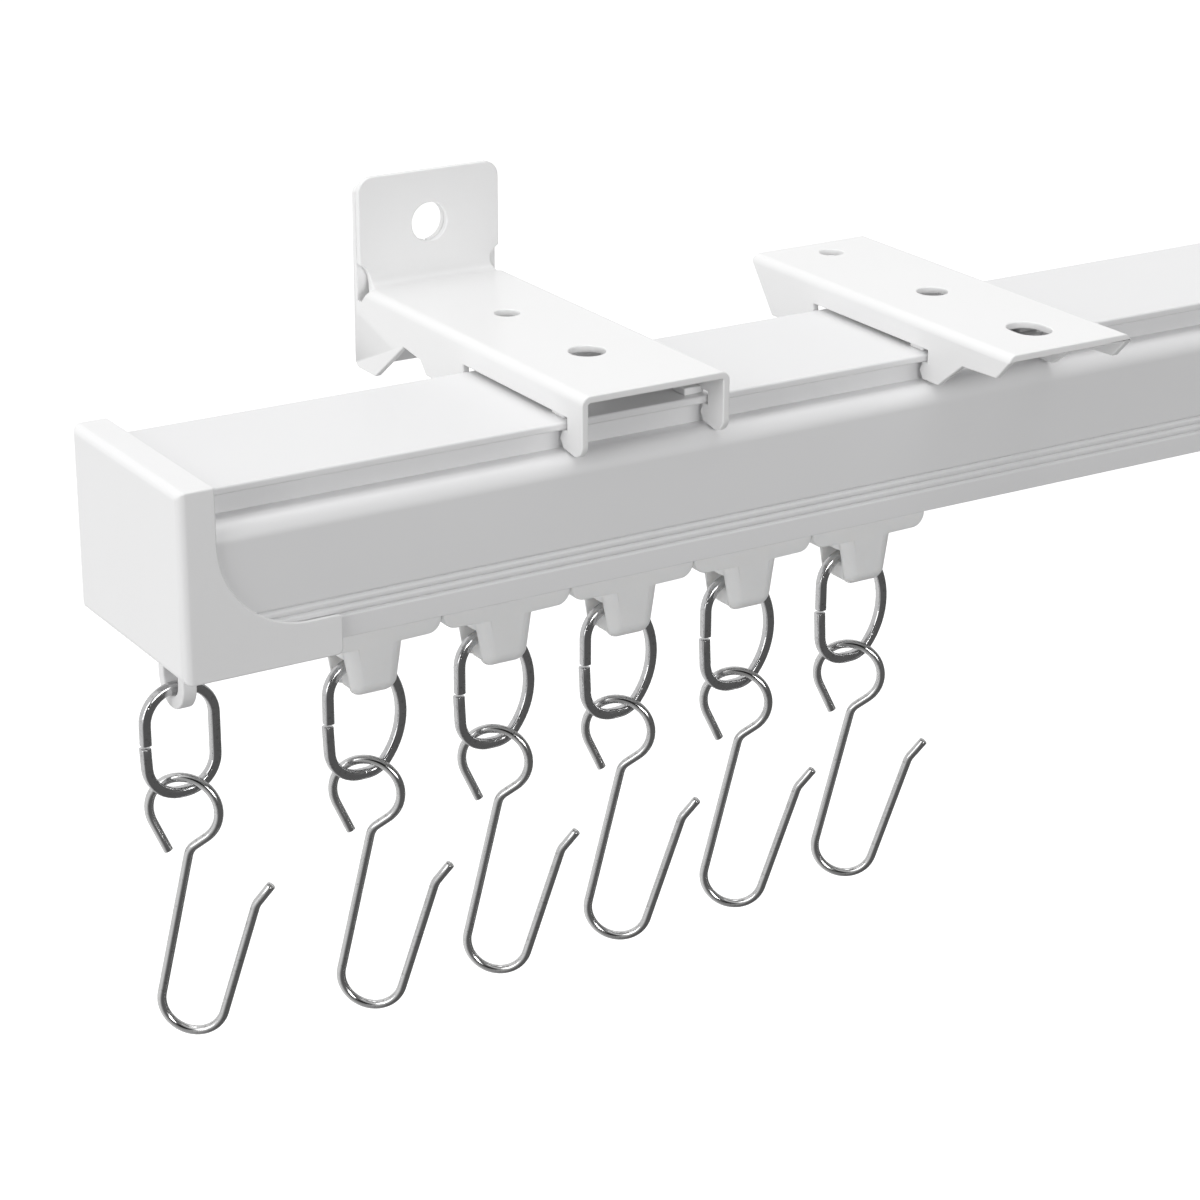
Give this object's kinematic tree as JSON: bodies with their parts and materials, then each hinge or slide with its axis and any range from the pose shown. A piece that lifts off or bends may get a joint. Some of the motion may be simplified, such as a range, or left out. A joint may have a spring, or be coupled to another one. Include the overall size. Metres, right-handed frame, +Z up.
{
  "type": "curtain rail with brackets",
  "caption": "Flanged curtain rail with moulded end caps, a wall and a ceiling bracket, and sliding gliders that carry links and curtain hooks.",
  "frame": {"origin": "middle of the wall bracket's screw hole, on the face that lies against the wall", "axes": "+X along the rail away from the end near the brackets, +Y into the wall, +Z up"},
  "size_m": [0.4031, 0.0758, 0.1037],
  "materials": {
    "rail_white": "satin white coating",
    "cap_white": "fine matt moulded white",
    "bracket_white": "smooth white powder coat",
    "glider_nylon": "natural white nylon, slightly translucent",
    "link_steel": "bright zinc plate with draw marks",
    "hook_steel": "bright drawn wire"
  },
  "bodies": {
    "track": {"rail": "rail_white", "end_cap_left": "cap_white", "end_cap_right": "cap_white", "wall_bracket": "bracket_white", "ceiling_bracket": "bracket_white"},
    "glider_1": {"glider_1": "glider_nylon"},
    "glider_2": {"glider_2": "glider_nylon"},
    "glider_3": {"glider_3": "glider_nylon"},
    "glider_4": {"glider_4": "glider_nylon"},
    "glider_5": {"glider_5": "glider_nylon"},
    "link_left": {"link_left": "link_steel"},
    "hook_left": {"hook_left": "hook_steel"},
    "link_right": {"link_right": "link_steel"},
    "hook_right": {"hook_right": "hook_steel"},
    "link_1": {"link_1": "link_steel"},
    "hook_1": {"hook_1": "hook_steel"},
    "link_2": {"link_2": "link_steel"},
    "hook_2": {"hook_2": "hook_steel"},
    "link_3": {"link_3": "link_steel"},
    "hook_3": {"hook_3": "hook_steel"},
    "link_4": {"link_4": "link_steel"},
    "hook_4": {"hook_4": "hook_steel"},
    "link_5": {"link_5": "link_steel"},
    "hook_5": {"hook_5": "hook_steel"}
  },
  "joints": [
    {"name": "glide_1", "type": "slide", "parent": "track", "child": "glider_1", "axis": [1, 0, 0], "range_m": [0, 0.05]},
    {"name": "glide_2", "type": "slide", "parent": "glider_1", "child": "glider_2", "axis": [1, 0, 0], "range_m": [0, 0.05]},
    {"name": "glide_3", "type": "slide", "parent": "glider_2", "child": "glider_3", "axis": [1, 0, 0], "range_m": [0, 0.05]},
    {"name": "glide_4", "type": "slide", "parent": "glider_3", "child": "glider_4", "axis": [1, 0, 0], "range_m": [0, 0.05]},
    {"name": "glide_5", "type": "slide", "parent": "glider_4", "child": "glider_5", "axis": [1, 0, 0], "range_m": [0, 0.05]},
    {"name": "link_swing_left", "type": "hinge", "parent": "track", "child": "link_left", "pos_m": [-0.0609, -0.0451, -0.0426], "axis": [1, 0, 0], "range_deg": [-45, 45]},
    {"name": "hook_swing_left", "type": "hinge", "parent": "link_left", "child": "hook_left", "pos_m": [-0.0609, -0.0451, -0.05987], "axis": [-0.6428, -0.766, 0], "range_deg": [-20, 20]},
    {"name": "link_swing_right", "type": "hinge", "parent": "track", "child": "link_right", "pos_m": [0.3271, -0.0451, -0.0426], "axis": [1, 0, 0], "range_deg": [-45, 45]},
    {"name": "hook_swing_right", "type": "hinge", "parent": "link_right", "child": "hook_right", "pos_m": [0.3271, -0.0451, -0.05987], "axis": [-0.6428, -0.766, 0], "range_deg": [-20, 20]},
    {"name": "link_swing_1", "type": "hinge", "parent": "glider_1", "child": "link_1", "pos_m": [-0.03445, -0.0451, -0.0446], "axis": [1, 0, 0], "range_deg": [-30, 30]},
    {"name": "hook_swing_1", "type": "hinge", "parent": "link_1", "child": "hook_1", "pos_m": [-0.03445, -0.0451, -0.06348], "axis": [-0.6428, -0.766, 0], "range_deg": [-20, 20]},
    {"name": "link_swing_2", "type": "hinge", "parent": "glider_2", "child": "link_2", "pos_m": [-0.01475, -0.0451, -0.0446], "axis": [1, 0, 0], "range_deg": [-30, 30]},
    {"name": "hook_swing_2", "type": "hinge", "parent": "link_2", "child": "hook_2", "pos_m": [-0.01475, -0.0451, -0.06348], "axis": [-0.6428, -0.766, 0], "range_deg": [-20, 20]},
    {"name": "link_swing_3", "type": "hinge", "parent": "glider_3", "child": "link_3", "pos_m": [0.00495, -0.0451, -0.0446], "axis": [1, 0, 0], "range_deg": [-30, 30]},
    {"name": "hook_swing_3", "type": "hinge", "parent": "link_3", "child": "hook_3", "pos_m": [0.00495, -0.0451, -0.06348], "axis": [-0.6428, -0.766, 0], "range_deg": [-20, 20]},
    {"name": "link_swing_4", "type": "hinge", "parent": "glider_4", "child": "link_4", "pos_m": [0.02465, -0.0451, -0.0446], "axis": [1, 0, 0], "range_deg": [-30, 30]},
    {"name": "hook_swing_4", "type": "hinge", "parent": "link_4", "child": "hook_4", "pos_m": [0.02465, -0.0451, -0.06348], "axis": [-0.6428, -0.766, 0], "range_deg": [-20, 20]},
    {"name": "link_swing_5", "type": "hinge", "parent": "glider_5", "child": "link_5", "pos_m": [0.04435, -0.0451, -0.0446], "axis": [1, 0, 0], "range_deg": [-30, 30]},
    {"name": "hook_swing_5", "type": "hinge", "parent": "link_5", "child": "hook_5", "pos_m": [0.04435, -0.0451, -0.06348], "axis": [-0.6428, -0.766, 0], "range_deg": [-20, 20]}
  ]
}
